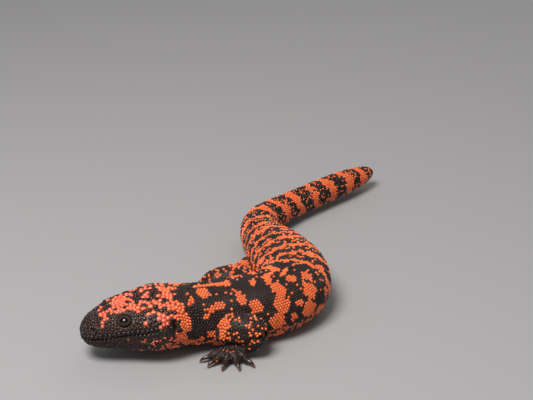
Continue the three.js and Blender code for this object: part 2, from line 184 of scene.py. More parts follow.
def course_at(at):
    at = np.clip(np.asarray(at, float), 0, TOTAL_LENGTH)
    i = np.minimum(at.astype(int), TOTAL_LENGTH - 1)
    t = (at - i)[..., None]
    mixed = COURSE[i] * (1 - t) + COURSE[i + 1] * t
    mixed[..., 3] = COURSE[i, 3]
    return mixed


def section_at(at):
    return along(SECTIONS, at, 1), along(SECTIONS, at, 2), along(SECTIONS, at, 3)


def power_at(at, up):
    """How square the section is. The crown of the head is squarer than the rest."""
    crown = smoothstep(at, *CROWN_STARTS) * (1 - smoothstep(at, *CROWN_ENDS))
    return SECTION_POWER + np.where(up > 0, (CROWN_POWER - SECTION_POWER) * crown, 0)


def hide_points(at, angle, raised=0.0):
    """Points of the hide in millimetres, before the shift into the row's frame."""
    at = np.asarray(at, float)
    angle = np.radians(np.asarray(angle, float))
    place = course_at(at)
    width, height, low = section_at(at)
    up = np.cos(angle)
    side = np.sin(angle)
    power = power_at(at, up)
    reach = (np.abs(up) ** power + np.abs(side) ** power) ** (-1 / power)
    bend = place[..., 3]
    squeeze = np.where(bend * side > 0, 1 - INNER_SQUEEZE * np.abs(bend) * width, 1)
    lateral = (width * squeeze + raised) * side * reach
    heading = place[..., 2]
    return np.stack(
        [
            place[..., 0] - np.sin(heading) * lateral,
            place[..., 1] + np.cos(heading) * lateral,
            np.maximum(0, low + height + (height + raised) * up * reach),
        ],
        axis=-1,
    )


def hide_normals(at, angle, step=1, turn=3):
    """Outward directions, from points a step of millimetres and a turn of degrees to each side."""
    at = np.asarray(at, float)
    angle = np.asarray(angle, float)
    ahead = hide_points(at + step, angle) - hide_points(at - step, angle)
    around = hide_points(at, angle + turn) - hide_points(at, angle - turn)
    normal = np.cross(ahead, around)
    return normal / np.maximum(np.linalg.norm(normal, axis=-1, keepdims=True), 1e-9)


def body_places(points):
    """Station, angle and relative distance from the body's axis of points in millimetres."""
    station = np.empty(len(points))
    for first in range(0, len(points), POINTS_AT_ONCE):
        some = slice(first, first + POINTS_AT_ONCE)
        part = points[some, None, :2] - COURSE[None, :, :2]
        station[some] = np.argmin((part**2).sum(axis=2), axis=1)
    for _ in range(2):
        place = course_at(station)
        offset = points[:, :2] - place[:, :2]
        forward = np.stack([np.cos(place[:, 2]), np.sin(place[:, 2])], axis=1)
        station = np.clip(station + (offset * forward).sum(axis=1), 0, TOTAL_LENGTH)
    place = course_at(station)
    offset = points[:, :2] - place[:, :2]
    lateral = -np.sin(place[:, 2]) * offset[:, 0] + np.cos(place[:, 2]) * offset[:, 1]
    width, height, low = section_at(station)
    bend = place[:, 3]
    squeeze = np.where(bend * lateral > 0, 1 - INNER_SQUEEZE * np.abs(bend) * width, 1)
    across = lateral / (width * squeeze)
    upward = (points[:, 2] - low - height) / height
    power = power_at(station, upward)
    distance = (np.abs(across) ** power + np.abs(upward) ** power) ** (1 / power)
    # Beyond the tail's tip a point is outside, however near the axis it is.
    past = (offset * np.stack([np.cos(place[:, 2]), np.sin(place[:, 2])], axis=1)).sum(axis=1)
    return station, np.degrees(np.arctan2(across, upward)), distance + np.abs(past) * 0.2


def smooth_line(joints, step=1.0):
    """Points and radii along a rounded line through joints."""
    joints = np.array(joints, float)
    padded = np.vstack([2 * joints[0] - joints[1], joints, 2 * joints[-1] - joints[-2]])
    out = []
    for i in range(1, len(padded) - 2):
        p0, p1, p2, p3 = padded[i - 1 : i + 3]
        count = max(1, int(round(np.linalg.norm((p2 - p1)[:3]) / step)))
        for t in np.arange(count) / count:
            out.append(
                0.5
                * (
                    2 * p1
                    + (p2 - p0) * t
                    + (2 * p0 - 5 * p1 + 4 * p2 - p3) * t**2
                    + (3 * p1 - p0 - 3 * p2 + p3) * t**3
                )
            )
    out.append(padded[-2])
    return np.array(out)


def limb_line(limb):
    return smooth_line(limb["upper"] + limb["lower"][1:] + limb["palm"][1:])


LIMB_LINES = [limb_line(limb) for limb in LIMBS.values()]


def finger_joints(limb, direction, reach):
    """Root, knuckle and tip of a digit: x, y, z, radius."""
    x, y = limb["palm"][1][:2]
    way = np.array([math.cos(math.radians(direction)), math.sin(math.radians(direction))])
    root = (x + way[0], y + way[1], FINGER["arch"] - 1, FINGER["root"])
    knuckle_reach = reach * FINGER["knuckle"]
    middle = (FINGER["root"] + FINGER["tip"]) / 2
    knuckle = (x + way[0] * knuckle_reach, y + way[1] * knuckle_reach, FINGER["arch"], middle)
    tip = (x + way[0] * reach, y + way[1] * reach, FINGER["tip"] + FINGER["lift"], FINGER["tip"])
    return root, knuckle, tip


def digit_points(limb):
    """Points along the digits of a limb: x, y, z, radius, share of the digit's length."""
    rows = []
    for direction, reach in limb["spread"]:
        line = smooth_line(finger_joints(limb, direction, reach))
        rows.append(np.column_stack([line, np.linspace(0, 1, len(line))]))
    return np.vstack(rows)


DIGIT_POINTS = [digit_points(limb) for limb in LIMBS.values()]


# Domed end of a tube: how far out and how wide, as shares of the tube's radius.
TUBE_DOME = ((0.98, 0.2), (0.8, 0.6), (0.45, 0.893))


def tube(line, sides, flat=1.0):
    """Rings of points round a line of x, y, z, radius, with domed ends, and their faces."""
    line = np.array(line, float)
    tangent = np.gradient(line[:, :3], axis=0)
    tangent /= np.linalg.norm(tangent, axis=1, keepdims=True)
    centres = [line[0, :3] - tangent[0] * line[0, 3] * out for out, _ in TUBE_DOME]
    widths = [line[0, 3] * wide for _, wide in TUBE_DOME]
    ways = [tangent[0]] * len(TUBE_DOME)
    centres += list(line[:, :3])
    widths += list(line[:, 3])
    ways += list(tangent)
    centres += [line[-1, :3] + tangent[-1] * line[-1, 3] * out for out, _ in reversed(TUBE_DOME)]
    widths += [line[-1, 3] * wide for _, wide in reversed(TUBE_DOME)]
    ways += [tangent[-1]] * len(TUBE_DOME)
    turn = np.linspace(0, 2 * math.pi, sides, endpoint=False)
    rings = []
    for centre, width, way in zip(centres, widths, ways):
        side = np.cross(way, (0, 0, 1))
        side /= np.linalg.norm(side)
        over = np.cross(side, way)
        circle = np.outer(np.cos(turn), side) + np.outer(np.sin(turn) * flat, over)
        rings.append(centre + circle * width)
    return rings_to_mesh(rings)


def ring_faces(rings, sides, looped=False):
    """Faces between rings of points, and from the last ring back to the first where they are looped."""
    faces = []
    for r in range(rings if looped else rings - 1):
        s = (r + 1) % rings
        for j in range(sides):
            k = (j + 1) % sides
            faces.append((r * sides + j, r * sides + k, s * sides + k, s * sides + j))
    return faces


def rings_to_mesh(rings):
    """Points and faces of rings of equal length, joined in order and closed at both ends."""
    sides = len(rings[0])
    points = np.vstack(rings)
    faces = ring_faces(len(rings), sides)
    faces.append(tuple(reversed(range(sides))))
    last = (len(rings) - 1) * sides
    faces.append(tuple(range(last, last + sides)))
    return points, faces


def merged(parts):
    points = []
    faces = []
    offset = 0
    for part_points, part_faces in parts:
        points.append(part_points)
        faces += [tuple(i + offset for i in face) for face in part_faces]
        offset += len(part_points)
    return np.vstack(points), faces


def row_shift():
    """How far the working frame of the tables lies from the row's frame, from the left eye's place."""
    low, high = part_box("eye_left")
    centre = (np.array(low) + np.array(high)) / 2 / MM
    return centre - eye_centre(-1)


def eye_centre(side):
    angle = side * EYE["angle"]
    return hide_points(EYE["at"], angle) - hide_normals(EYE["at"], angle) * EYE["sunk"]


SHIFT = row_shift()
SHIFT[2] = 0.0


def deselect_all():
    if bpy.context.object and bpy.context.object.mode != "OBJECT":
        bpy.ops.object.mode_set(mode="OBJECT")
    bpy.ops.object.select_all(action="DESELECT")


def new_object(name, points, faces):
    """An object whose mesh has these points in millimetres, moved into the row's frame."""
    mesh = bpy.data.meshes.new(name)
    mesh.from_pydata(((np.asarray(points) + SHIFT) * MM).tolist(), [], faces)
    mesh.update()
    obj = bpy.data.objects.new(name, mesh)
    bpy.context.scene.collection.objects.link(obj)
    return obj


def activate(obj):
    deselect_all()
    obj.select_set(True)
    bpy.context.view_layer.objects.active = obj


def mesh_points(obj):
    """The object's vertices in millimetres in the working frame."""
    flat = np.empty(len(obj.data.vertices) * 3)
    obj.data.vertices.foreach_get("co", flat)
    return flat.reshape(-1, 3) / MM - SHIFT


def set_mesh_points(obj, points):
    obj.data.vertices.foreach_set("co", ((points + SHIFT) * MM).ravel())
    obj.data.update()


def mouth_line():
    """Points along the mouth from the left corner round the snout to the right corner."""
    stations = np.linspace(MOUTH["corner"], 1.2, 60)
    share = stations / MOUTH["corner"]
    angles = MOUTH["front_angle"] + (MOUTH["corner_angle"] - MOUTH["front_angle"]) * share
    left = hide_points(stations, -angles)
    right = hide_points(stations, angles)[::-1]
    front = [left[-1] * (1 - t) + right[0] * t for t in np.linspace(0.08, 0.92, 12)]
    return np.vstack([left, front, right])


def mouth_angle(at):
    """Angle of the mouth line at a station."""
    rise = MOUTH["corner_angle"] - MOUTH["front_angle"]
    return MOUTH["front_angle"] + rise * np.asarray(at) / MOUTH["corner"]


MOUTH_LINE = mouth_line()
EYE_PLACES = [hide_points(EYE["at"], side * EYE["angle"]) for side in (-1, 1)]
NOSTRIL_PLACES = [hide_points(NOSTRIL["at"], side * NOSTRIL["angle"]) for side in (-1, 1)]
EAR_TURNS = np.linspace(EAR["angle"] - EAR["half_turn"], EAR["angle"] + EAR["half_turn"], 7)
EAR_LINES = [hide_points(np.full(len(EAR_TURNS), EAR["at"]), side * EAR_TURNS) for side in (-1, 1)]


def distance_to(points, targets):
    """Distance of each point to the nearest target, and that target's number."""
    tree = KDTree(len(targets))
    for i, target in enumerate(targets):
        tree.insert(target, i)
    tree.balance()
    found = [tree.find(point) for point in points]
    return np.array([f[2] for f in found]), np.array([f[1] for f in found])


# Markings

# Coral patches on the neck and the front of the trunk: station, angle, half length along the body,
# half width across it in millimetres, and slant in degrees.
CORAL_PATCHES = (
    (57, 10, 7, 2.6, 0), (56, -10, 4, 3.6, 0), (60, -44, 3.2, 6, -14), (63, -70, 3.6, 8, 6),
    (60, -102, 3.8, 7, 16), (68, -14, 1.8, 1.6, 0), (69, -36, 3.2, 2.4, 30), (78.5, -16, 4.2, 4.6, 20),
    (84, -50, 5.6, 2.8, 24), (78, -64, 1.8, 1.8, 0), (82, -104, 5, 3.4, 0), (86, 8, 13, 2.2, 0),
    (95, 2, 5, 3, 0), (101.5, -35, 2.8, 6.2, 8), (109.3, -58, 4.0, 4.6, 0), (113, -10, 1.6, 4.2, -20),
    (122.5, -14, 2.6, 4.8, -10), (124.5, -38, 3.6, 6.4, 0), (123.5, -64, 4.0, 8, 4), (120.5, -92, 3.6, 8, 8),
    (127, 2, 7, 1.8, 16), (132, -70, 1.7, 2.0, 0), (129, -93, 1.7, 4, 0), (135, -26, 3.0, 2.6, 20),
    (144, -36, 3.0, 4.4, -6), (139.5, -58, 3.6, 7.0, 4), (137, -88, 3.4, 8, 4), (137, -8, 6, 1.6, 14),
    (145, -108, 4, 4, 0), (64, 40, 4, 8, 12), (66, 80, 4.2, 10, -8), (81, 48, 6, 4.4, -20),
    (97, 62, 7, 4, 10), (106, 34, 4.4, 5, 0), (120, 52, 4.6, 14, -8), (138, 40, 4.4, 16, -14),
    (136, 88, 4.2, 9, 0),
)

# Single coral plates and small groups of them on the head: station, angle, radius in millimetres.
CORAL_SPOTS = (
    (12.9, -39, 1.5), (15.9, -36, 1.5), (11.6, -55, 1.2), (15.4, -56, 1.2), (38.3, -61, 1.6),
    (50, -60, 3.2), (46, -71, 1.4), (53, -32, 2.6), (13.5, 41, 1.5), (17, 54, 1.3), (40, 62, 1.8),
    (49, 58, 3.0),
)
# How far down each side the head's coral reaches: station, angle.
CROWN_EDGE = ((8, 0), (10, 13), (13, 36), (18, 31), (31, 32), (36, 42), (42, 49), (50, 54), (58, 58))
BAND_LENGTH = 13.5
TAIL_BAND_LENGTH = 19.0


def wander(points, size, seed):
    """Smooth noise from -1 to 1 at points in millimetres."""
    offset = Vector((seed * 17.3, seed * 5.1, seed * 9.7))
    return np.array([noise.noise(Vector(p) / size + offset) for p in points])


def head_coral(points, station, angle):
    """Above 0 where the head is coral: a mottled crown and temples, and single plates on the dark face."""
    size = np.abs(angle)
    slow = wander(points, 3.4, 5)
    fine = wander(points, 1.6, 6)
    inside = (along(CROWN_EDGE, station, 1) - size) * 0.12 + fine * 0.3
    plain = 0.5 * np.exp(-(((station - 27) / 6) ** 2)) * (size < 30)
    crown = np.minimum(inside, plain - 0.05 - slow - 0.3 * fine)
    amount = np.where(station > 8.5, crown, -1)
    for at, turn, radius in CORAL_SPOTS:
        gap = np.linalg.norm(points - hide_points(at, turn), axis=1)
        amount = np.maximum(amount, 1 - gap / radius)
    # The throat is dark with coral flecks, which grow towards the neck.
    throat = wander(points * np.array([0.5, 1, 1]), 1.5, 8) * 1.5
    throat += np.interp(station, [20, 34, 46, 62], [-1.0, -0.55, -0.25, -0.05])
    return np.where(size > 88, np.maximum(amount, throat), amount)


def body_coral(points, station, angle):
    """Above 0 where the body is coral."""
    width, height, _ = section_at(station)
    girth = 0.5 * (width + height) * math.pi / 180
    slow = wander(points, 7.0, 1)
    fine = wander(points, 3.0, 2)
    amount = np.full(len(points), -1.0)
    for at, turn, length, across, slant in CORAL_PATCHES:
        forward = station - at + slow * 1.2
        sideways = (angle - turn) * girth + fine * 1.0
        c = math.cos(math.radians(slant))
        s = math.sin(math.radians(slant))
        u = (forward * c + sideways * s) / length
        v = (-forward * s + sideways * c) / across
        amount = np.maximum(amount, 1 - np.sqrt(u * u + v * v))
    # Under the neck and chest: flecks.
    under = smoothstep(np.abs(angle), 98, 116)
    flecks = fine * 0.9 + slow * 0.5
    amount = np.maximum(amount, flecks - 1 + under)
    # The rear of the trunk and the hips: narrow broken bands.
    warped = station + slow * 3 + wander(points, 16.0, 3) * 4 + angle * 0.03
    bands = np.sin(2 * math.pi * warped / BAND_LENGTH) - 0.42 + fine * 0.45
    rear = smoothstep(station, 148, 152)
    # The tail: wider bands, each with a broken middle.
    tail_bands = np.sin(2 * math.pi * (warped + 4) / TAIL_BAND_LENGTH) - 0.3 + fine * 0.5
    tail = smoothstep(station, 246, 262)
    bands = bands * (1 - tail) + tail_bands * tail
    amount = np.where(rear > 0.5, bands * 0.5, amount)
    head = station < 58
    face = np.full(len(points), -1.0)
    if head.any():
        face[head] = head_coral(points[head], station[head], angle[head])
    return np.where(head, np.maximum(face, np.where(station > 50, amount, -1)), amount)


# Coral bands of each limb, as shares of its length: middle, half width. Below 0 is the shoulder or hip.
LIMB_BANDS = (
    ((-0.12, 0.11), (0.16, 0.06)),
    ((-0.05, 0.05), (0.22, 0.04), (0.41, 0.03)),
    ((-0.05, 0.06), (0.20, 0.07), (0.45, 0.06)),
    ((0.02, 0.06), (0.27, 0.06), (0.50, 0.05)),
)


def limb_coral(points, limb_number, share):
    slow = wander(points, 6.0, 4 + limb_number)
    fine = wander(points, 2.5, 9)
    warped = share + slow * 0.03 + fine * 0.02
    amount = np.full(len(points), -1.0)
    for middle, half in LIMB_BANDS[limb_number - 1]:
        amount = np.maximum(amount, 1 - np.abs(warped - middle) / half)
    # Flecks on the outer edge of the lower limb.
    flecks = fine * 1.2 + slow * 0.6 - 0.55 - smoothstep(share, 0.8, 0.9)
    return np.maximum(amount * 0.5, flecks * 0.6)


# A point is a limb's rather than the body's within these reaches, as shares of the radii of limb and flank.
LIMB_REACH = 1.6
FLANK_REACH = 1.25
# What a digit adds to its limb's length, as a share of it.
DIGIT_SHARE = 0.2


def regions_of(points):
    """For points in millimetres: region number (0 the body, 1 to 4 the limbs), station or share, angle."""
    station, angle, nearness = body_places(points)
    region = np.zeros(len(points), int)
    along_it = station.copy()
    round_it = angle.copy()
    for number, (line, digits) in enumerate(zip(LIMB_LINES, DIGIT_POINTS), start=1):
        distance, nearest = distance_to(points, line[:, :3])
        relative = distance / line[nearest, 3]
        digit_distance, nearest_digit = distance_to(points, digits[:, :3])
        digit_relative = digit_distance / digits[nearest_digit, 3]
        on_digit = digit_relative < relative
        relative = np.minimum(relative, digit_relative)
        # A limb's skin counts from where it comes out of the flank.
        closer = (relative < nearness) | ((relative < LIMB_REACH) & (nearness > FLANK_REACH))
        nearness = np.where(closer, relative, nearness)
        region = np.where(closer, number, region)
        step = line[1, :3] - line[0, :3]
        behind = np.minimum(((points - line[0, :3]) @ step) / (step @ step), 0) * (nearest == 0)
        on_limb = (nearest + behind) / (len(line) - 1)
        share = np.where(on_digit, 1 + DIGIT_SHARE * digits[nearest_digit, 4], on_limb)
        along_it = np.where(closer, share, along_it)
        round_it = np.where(closer, 0, round_it)
    return region, along_it, round_it


def coral_amount(points, region, along_it, round_it):
    amount = np.empty(len(points))
    body = region == 0
    if body.any():
        amount[body] = body_coral(points[body], along_it[body], round_it[body])
    for number in range(1, 5):
        mask = region == number
        if mask.any():
            amount[mask] = limb_coral(points[mask], number, along_it[mask])
    return amount


def write_colours(mesh, colours):
    """Colours, one for each vertex, that the material reads as the markings; on the skin they also hold
    painted shade in the openings and between the coral beads.
    """
    attribute = mesh.color_attributes.new("Markings", "FLOAT_COLOR", "POINT")
    filled = np.ones((len(mesh.vertices), 4))
    filled[:, :3] = colours
    attribute.data.foreach_set("color", filled.ravel())
    mesh.color_attributes.render_color_index = 0


# Materials

MARKINGS_SPECULAR = 0.42
COAT_ROUGHNESS = 0.12


def make_material(name, roughness, coat=0.0, specular=0.5):
    material = bpy.data.materials.new(name)
    material.use_nodes = True
    shader = material.node_tree.nodes["Principled BSDF"]
    shader.inputs["Roughness"].default_value = roughness
    shader.inputs["Coat Weight"].default_value = coat
    shader.inputs["Coat Roughness"].default_value = COAT_ROUGHNESS
    shader.inputs["Specular IOR Level"].default_value = specular
    return material, material.node_tree, shader


def fine_grain():
    """The group of nodes that makes a surface finely uneven, built once. Its depth is in metres."""
    group = bpy.data.node_groups.get("Fine grain")
    if group:
        return group
    group = bpy.data.node_groups.new("Fine grain", "ShaderNodeTree")
    for name in ("Grains a metre", "Depth"):
        group.interface.new_socket(name, in_out="INPUT", socket_type="NodeSocketFloat")
    group.interface.new_socket("Normal", in_out="OUTPUT", socket_type="NodeSocketVector")
    given = group.nodes.new("NodeGroupInput")
    result = group.nodes.new("NodeGroupOutput")
    place = group.nodes.new("ShaderNodeTexCoord")
    grain = group.nodes.new("ShaderNodeTexNoise")
    grain.inputs["Detail"].default_value = 4
    bump = group.nodes.new("ShaderNodeBump")
    bump.inputs["Strength"].default_value = 0.4
    group.links.new(place.outputs["Object"], grain.inputs["Vector"])
    group.links.new(given.outputs["Grains a metre"], grain.inputs["Scale"])
    group.links.new(given.outputs["Depth"], bump.inputs["Distance"])
    group.links.new(grain.outputs["Fac"], bump.inputs["Height"])
    group.links.new(bump.outputs["Normal"], result.inputs["Normal"])
    return group


def markings_material(name, roughness, coat, grains_a_metre, depth):
    """Reads the markings of its mesh, on the skin with painted shade too, and is finely uneven."""
    material, tree, shader = make_material(name, roughness, coat, MARKINGS_SPECULAR)
    markings = tree.nodes.new("ShaderNodeVertexColor")
    markings.layer_name = "Markings"
    tree.links.new(markings.outputs["Color"], shader.inputs["Base Color"])
    grain = tree.nodes.new("ShaderNodeGroup")
    grain.node_tree = fine_grain()
    grain.inputs["Grains a metre"].default_value = grains_a_metre
    grain.inputs["Depth"].default_value = depth
    tree.links.new(grain.outputs["Normal"], shader.inputs["Normal"])
    return material


# Settings


def colour_setting(name, description, default):
    return FloatVectorProperty(name=name, description=description, default=default, subtype="COLOR")


class HideSettings(bpy.types.PropertyGroup):
    skin_voxel: FloatProperty(
        name="Skin fineness",
        description="Edge length of the skin's faces before the head is made finer",
        default=0.0011,
        unit="LENGTH",
    )
    skin_inset: FloatProperty(
        name="Skin depth",
        description="How far the skin lies under the tops of the beads",
        default=0.0006,
        unit="LENGTH",
    )
    trunk_pitch: FloatProperty(
        name="Bead spacing",
        description="Distance between the beads of the back",
        default=0.00205,
        unit="LENGTH",
    )
    coral: colour_setting("Coral", "Colour of the light beads", (0.95, 0.175, 0.042))
    black: colour_setting("Black", "Colour of the dark beads", (0.011, 0.005, 0.004))
    # Skin between coral beads: its own dark orange-brown, darkened further by painted shade of the gaps
    # between the domed beads.
    coral_skin_and_gap_shade: colour_setting(
        "Skin and painted shade between coral beads", "Colour of the skin where the beads are coral, darkened by painted shade of the gaps", (0.22, 0.036, 0.012)
    )
    black_skin: colour_setting(
        "Skin between black beads", "Colour of the skin where the beads are black", (0.032, 0.010, 0.0055)
    )
    face_skin: colour_setting(
        "Skin of the face", "Colour of the skin between the dark plates of the face", (0.085, 0.030, 0.013)
    )
    crown_coral: colour_setting(
        "Coral of the crown", "Colour of the light plates on the head", (0.90, 0.165, 0.085)
    )
    seed: IntProperty(name="Seed", description="Changes the beads' small differences", default=7)


class StageSettings(bpy.types.PropertyGroup):
    floor: colour_setting("Floor", "Colour of the floor", (0.315, 0.308, 0.306))
    key_power: FloatProperty(
        name="Main light", description="Power of the main light", default=19.0, unit="POWER"
    )


# Dents in the skin of the head: depth, and the distances from the opening between which they fade out.
EYE_DENT = (1.5, 3.0, 5.6)
NOSTRIL_DENT = (2.4, 0.7, 1.6)
EAR_DENT = (2.6, 0.7, 1.9)
MOUTH_DENT = (1.9, 0.4, 1.4)
# Rims round the openings: height, distance of the crest from the opening, and width.
NOSTRIL_RIM = (0.6, 2.1, 0.8)
EAR_RIM = (0.5, 2.6, 0.8)
BROW_HEIGHT = 1.0
CHEEK_HEIGHT = 0.8
JAW_DEPTH = 0.7


def dent(distance, depth, inner, outer):
    return depth * (1 - smoothstep(distance, inner, outer))


def rim(distance, height, crest, width):
    return height * np.exp(-(((distance - crest) / width) ** 2))


def head_relief(points, station, angle):
    """Height in millimetres added to the skin of the head."""
    relief = np.zeros(len(points))
    size = np.abs(angle)
    ridge_angle = 34 + 6 * smoothstep(np.abs(station - 25), 5, 12)
    ridge = np.exp(-(((size - ridge_angle) / 7) ** 2))
    relief += BROW_HEIGHT * ridge * smoothstep(station, 12, 19) * (1 - smoothstep(station, 32, 39))
    relief += CHEEK_HEIGHT * np.exp(-(((station - 46) / 9) ** 2) - ((size - 62) / 24) ** 2)
    # The lower jaw lies a little inside the upper lip.
    below = smoothstep(size - mouth_angle(station), 0, 6) * (1 - smoothstep(size, 112, 135))
    relief -= JAW_DEPTH * below * (1 - smoothstep(station, 34, 46))
    eye_distance, _ = distance_to(points, EYE_PLACES)
    relief -= dent(eye_distance, *EYE_DENT)
    nostril_distance, _ = distance_to(points, NOSTRIL_PLACES)
    relief -= dent(nostril_distance, *NOSTRIL_DENT)
    relief += rim(nostril_distance, *NOSTRIL_RIM)
    ear_distance, _ = distance_to(points, np.vstack(EAR_LINES))
    relief -= dent(ear_distance, *EAR_DENT)
    relief += rim(ear_distance, *EAR_RIM)
    mouth_distance, _ = distance_to(points, MOUTH_LINE)
    relief -= dent(mouth_distance, *MOUTH_DENT)
    return relief


def flesh_nodes():
    return [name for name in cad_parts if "eye" not in name and "claw" not in name]


# Painted shade in the mouth line, the ears and the nostrils: the share of the skin's colour that is left
# there.
PAINTED_SHADE_IN_OPENINGS = 0.06
BODY_SIDES = 72
LIMB_SIDES = 32
DIGIT_SIDES = 20
# The last points of a limb's line are its palm, which is flatter and starts a little inside the limb.
PALM_POINTS = 14
PALM_OVERLAP = 4
PALM_FLAT = 0.76


class GILA_OT_skin(bpy.types.Operator):
    """One closed skin over the head, body, limbs and digits"""

    bl_idname = "gila.skin"
    bl_label = "Skin"

    def execute(self, context):
        settings = context.scene.gila_hide
        inset = settings.skin_inset / MM
        stations = np.concatenate(
            [np.linspace(0.3, 6, 10), np.arange(7, 394, 1.5), np.linspace(394, 399.6, 9)]
        )
        angles = np.linspace(-180, 180, BODY_SIDES, endpoint=False)
        rings = [hide_points(np.full(BODY_SIDES, at), angles, -min(inset, 0.5 + at)) for at in stations]
        parts = [rings_to_mesh(rings)]
        for limb, line in zip(LIMBS.values(), LIMB_LINES):
            slim = line.copy()
            slim[:, 3] -= inset
            split = len(slim) - PALM_POINTS
            parts.append(tube(slim[:split], LIMB_SIDES))
            parts.append(tube(slim[split - PALM_OVERLAP :], LIMB_SIDES, PALM_FLAT))
            for direction, reach in limb["spread"]:
                digit = smooth_line(finger_joints(limb, direction, reach))
                digit[:, 3] -= FINGER["inset"]
                parts.append(tube(digit, DIGIT_SIDES))
        skin = new_object("skin", *merged(parts))
        activate(skin)
        skin.data.remesh_voxel_size = settings.skin_voxel
        bpy.ops.object.voxel_remesh()
        smooth = skin.modifiers.new("Smooth", "SMOOTH")
        smooth.factor = 0.5
        smooth.iterations = 5
        bpy.ops.object.modifier_apply(modifier=smooth.name)
        self.refine_head(skin)
        self.add_relief(skin)
        self.paint(skin, settings)
        bpy.ops.object.shade_smooth()
        skin.data.materials.clear()
        skin.data.materials.append(markings_material("Skin between beads", 0.5, 0.0, 2600, 0.0002))
        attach(skin, "root")
        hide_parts(*flesh_nodes())
        return {"FINISHED"}

    def refine_head(self, skin):
        """Cuts each face of the head in four."""
        points = mesh_points(skin)
        station, _, _ = body_places(points)
        near = (station < 62) & (points[:, 0] < -25)
        near_faces = [all(near[i] for i in face.vertices) for face in skin.data.polygons]
        bpy.ops.object.mode_set(mode="EDIT")
        bpy.ops.mesh.select_mode(type="FACE")
        bpy.ops.object.mode_set(mode="OBJECT")
        skin.data.polygons.foreach_set("select", near_faces)
        bpy.ops.object.mode_set(mode="EDIT")
        bpy.ops.mesh.subdivide(number_cuts=1, smoothness=0.0)
        bpy.ops.object.mode_set(mode="OBJECT")

    def add_relief(self, skin):
        points = mesh_points(skin)
        station, angle, _ = body_places(points)
        head = np.where((station < 66) & (points[:, 0] < -20))[0]
        normals = np.empty(len(points) * 3)
        skin.data.vertices.foreach_get("normal", normals)
        normals = normals.reshape(-1, 3)
        relief = head_relief(points[head], station[head], angle[head])
        points[head] += normals[head] * relief[:, None]
        points[:, 2] = np.maximum(points[:, 2], 0.3)
        set_mesh_points(skin, points)

    def paint(self, skin, settings):
        points = mesh_points(skin)
        region, along_it, round_it = regions_of(points)
        amount = coral_amount(points, region, along_it, round_it)
        share = smoothstep(amount, -0.06, 0.06)[:, None]
        face = ((region == 0) * (1 - smoothstep(along_it, 56, 64)))[:, None]
        dark_skin = np.array(settings.black_skin) * (1 - face) + np.array(settings.face_skin) * face
        # Where the beads are coral the skin takes its own colour darkened by painted shade of the gaps
        # between the beads.
        colours = np.array(settings.coral_skin_and_gap_shade) * share + dark_skin * (1 - share)
        # Painted shade: the skin along the mouth line and in the ears and nostrils is darkened to a small
        # share of its colour.
        mouth_distance, _ = distance_to(points, MOUTH_LINE)
        ear_distance, _ = distance_to(points, np.vstack(EAR_LINES + [np.array(NOSTRIL_PLACES)]))
        clear = np.minimum(smoothstep(mouth_distance, 0.6, 1.4), smoothstep(ear_distance, 0.9, 1.8))
        colours = colours * (PAINTED_SHADE_IN_OPENINGS + (1 - PAINTED_SHADE_IN_OPENINGS) * clear[:, None])
        write_colours(skin.data, colours)


# Spacing of the beads: station, or share of a limb's length, and spacing in millimetres.
CROWN_PITCH = (
    (0, 1.7), (4, 1.9), (10, 2.2), (16, 2.3), (32, 2.35), (37, 2.8), (50, 2.8), (57, 2.3), (66, 2.0),
    (76, 1.9),
)
TRUNK_STATIONS = (90, 200)
TAIL_PITCH = ((250, 1.8), (290, 1.65), (340, 1.5), (400, 1.2))
CHEEK_PITCH = ((0, 1.6), (10, 1.8), (30, 2.0), (38, 2.4), (52, 2.3), (58, 1.9), (72, 1.85))
LIMB_PITCH = ((-0.2, 1.9), (0.55, 1.75), (0.85, 1.4), (1.0, 1.25), (1.2, 1.1))
JAW_PITCH = 1.35
LIP_PITCH = 2.7
BELLY_PITCH = 2.4
NECK_STATION = 72
# How far from each kind of opening the beads' edges stay.
CLEARANCE = {"mouth": 0.75, "eye": 3.1, "nostril": 1.25, "ear": 1.15}
# Plates above and below the mouth: way, spacing, distance from the mouth line.
LIP_ROWS = ((1, 3.0, 1.7), (-1, 2.6, 1.6))


def between(table, at):
    """Straight lines between the rows of a table."""
    return np.interp(at, [row[0] for row in table], [row[1] for row in table])


def pitch_at(points, region, along_it, round_it, trunk_pitch):
    """Spacing of the beads in millimetres."""
    size = np.abs(round_it)
    body = between(CROWN_PITCH + tuple((at, trunk_pitch) for at in TRUNK_STATIONS) + TAIL_PITCH, along_it)
    cheek = between(CHEEK_PITCH, along_it)
    below = smoothstep(size, 52, 62)
    head = along_it < NECK_STATION
    body = np.where(head, body * (1 - below) + cheek * below, body)
    jaw = smoothstep(size - mouth_angle(np.minimum(along_it, 50)), 4, 14)
    body = np.where(head, body * (1 - jaw) + JAW_PITCH * jaw, body)
    mouth_distance, _ = distance_to(points, MOUTH_LINE)
    lip = (1 - smoothstep(mouth_distance, 1.9, 2.4)) * (along_it < 50) * (region == 0)
    body = body * (1 - lip) + LIP_PITCH * lip
    belly = smoothstep(size, 122, 132) * (along_it > NECK_STATION)
    body = body * (1 - belly) + np.maximum(body, BELLY_PITCH) * belly
    eye_distance, _ = distance_to(points, EYE_PLACES)
    near_eye = 1.05 + 0.45 * np.maximum(eye_distance - 4.6, 0)
    body = np.where(region == 0, np.minimum(body, near_eye), body)
    nostril_distance, _ = distance_to(points, NOSTRIL_PLACES)
    near_nostril = 1.2 + 0.5 * np.maximum(nostril_distance - 1.5, 0)
    body = np.where(region == 0, np.minimum(body, near_nostril), body)
    return np.where(region == 0, body, between(LIMB_PITCH, along_it))


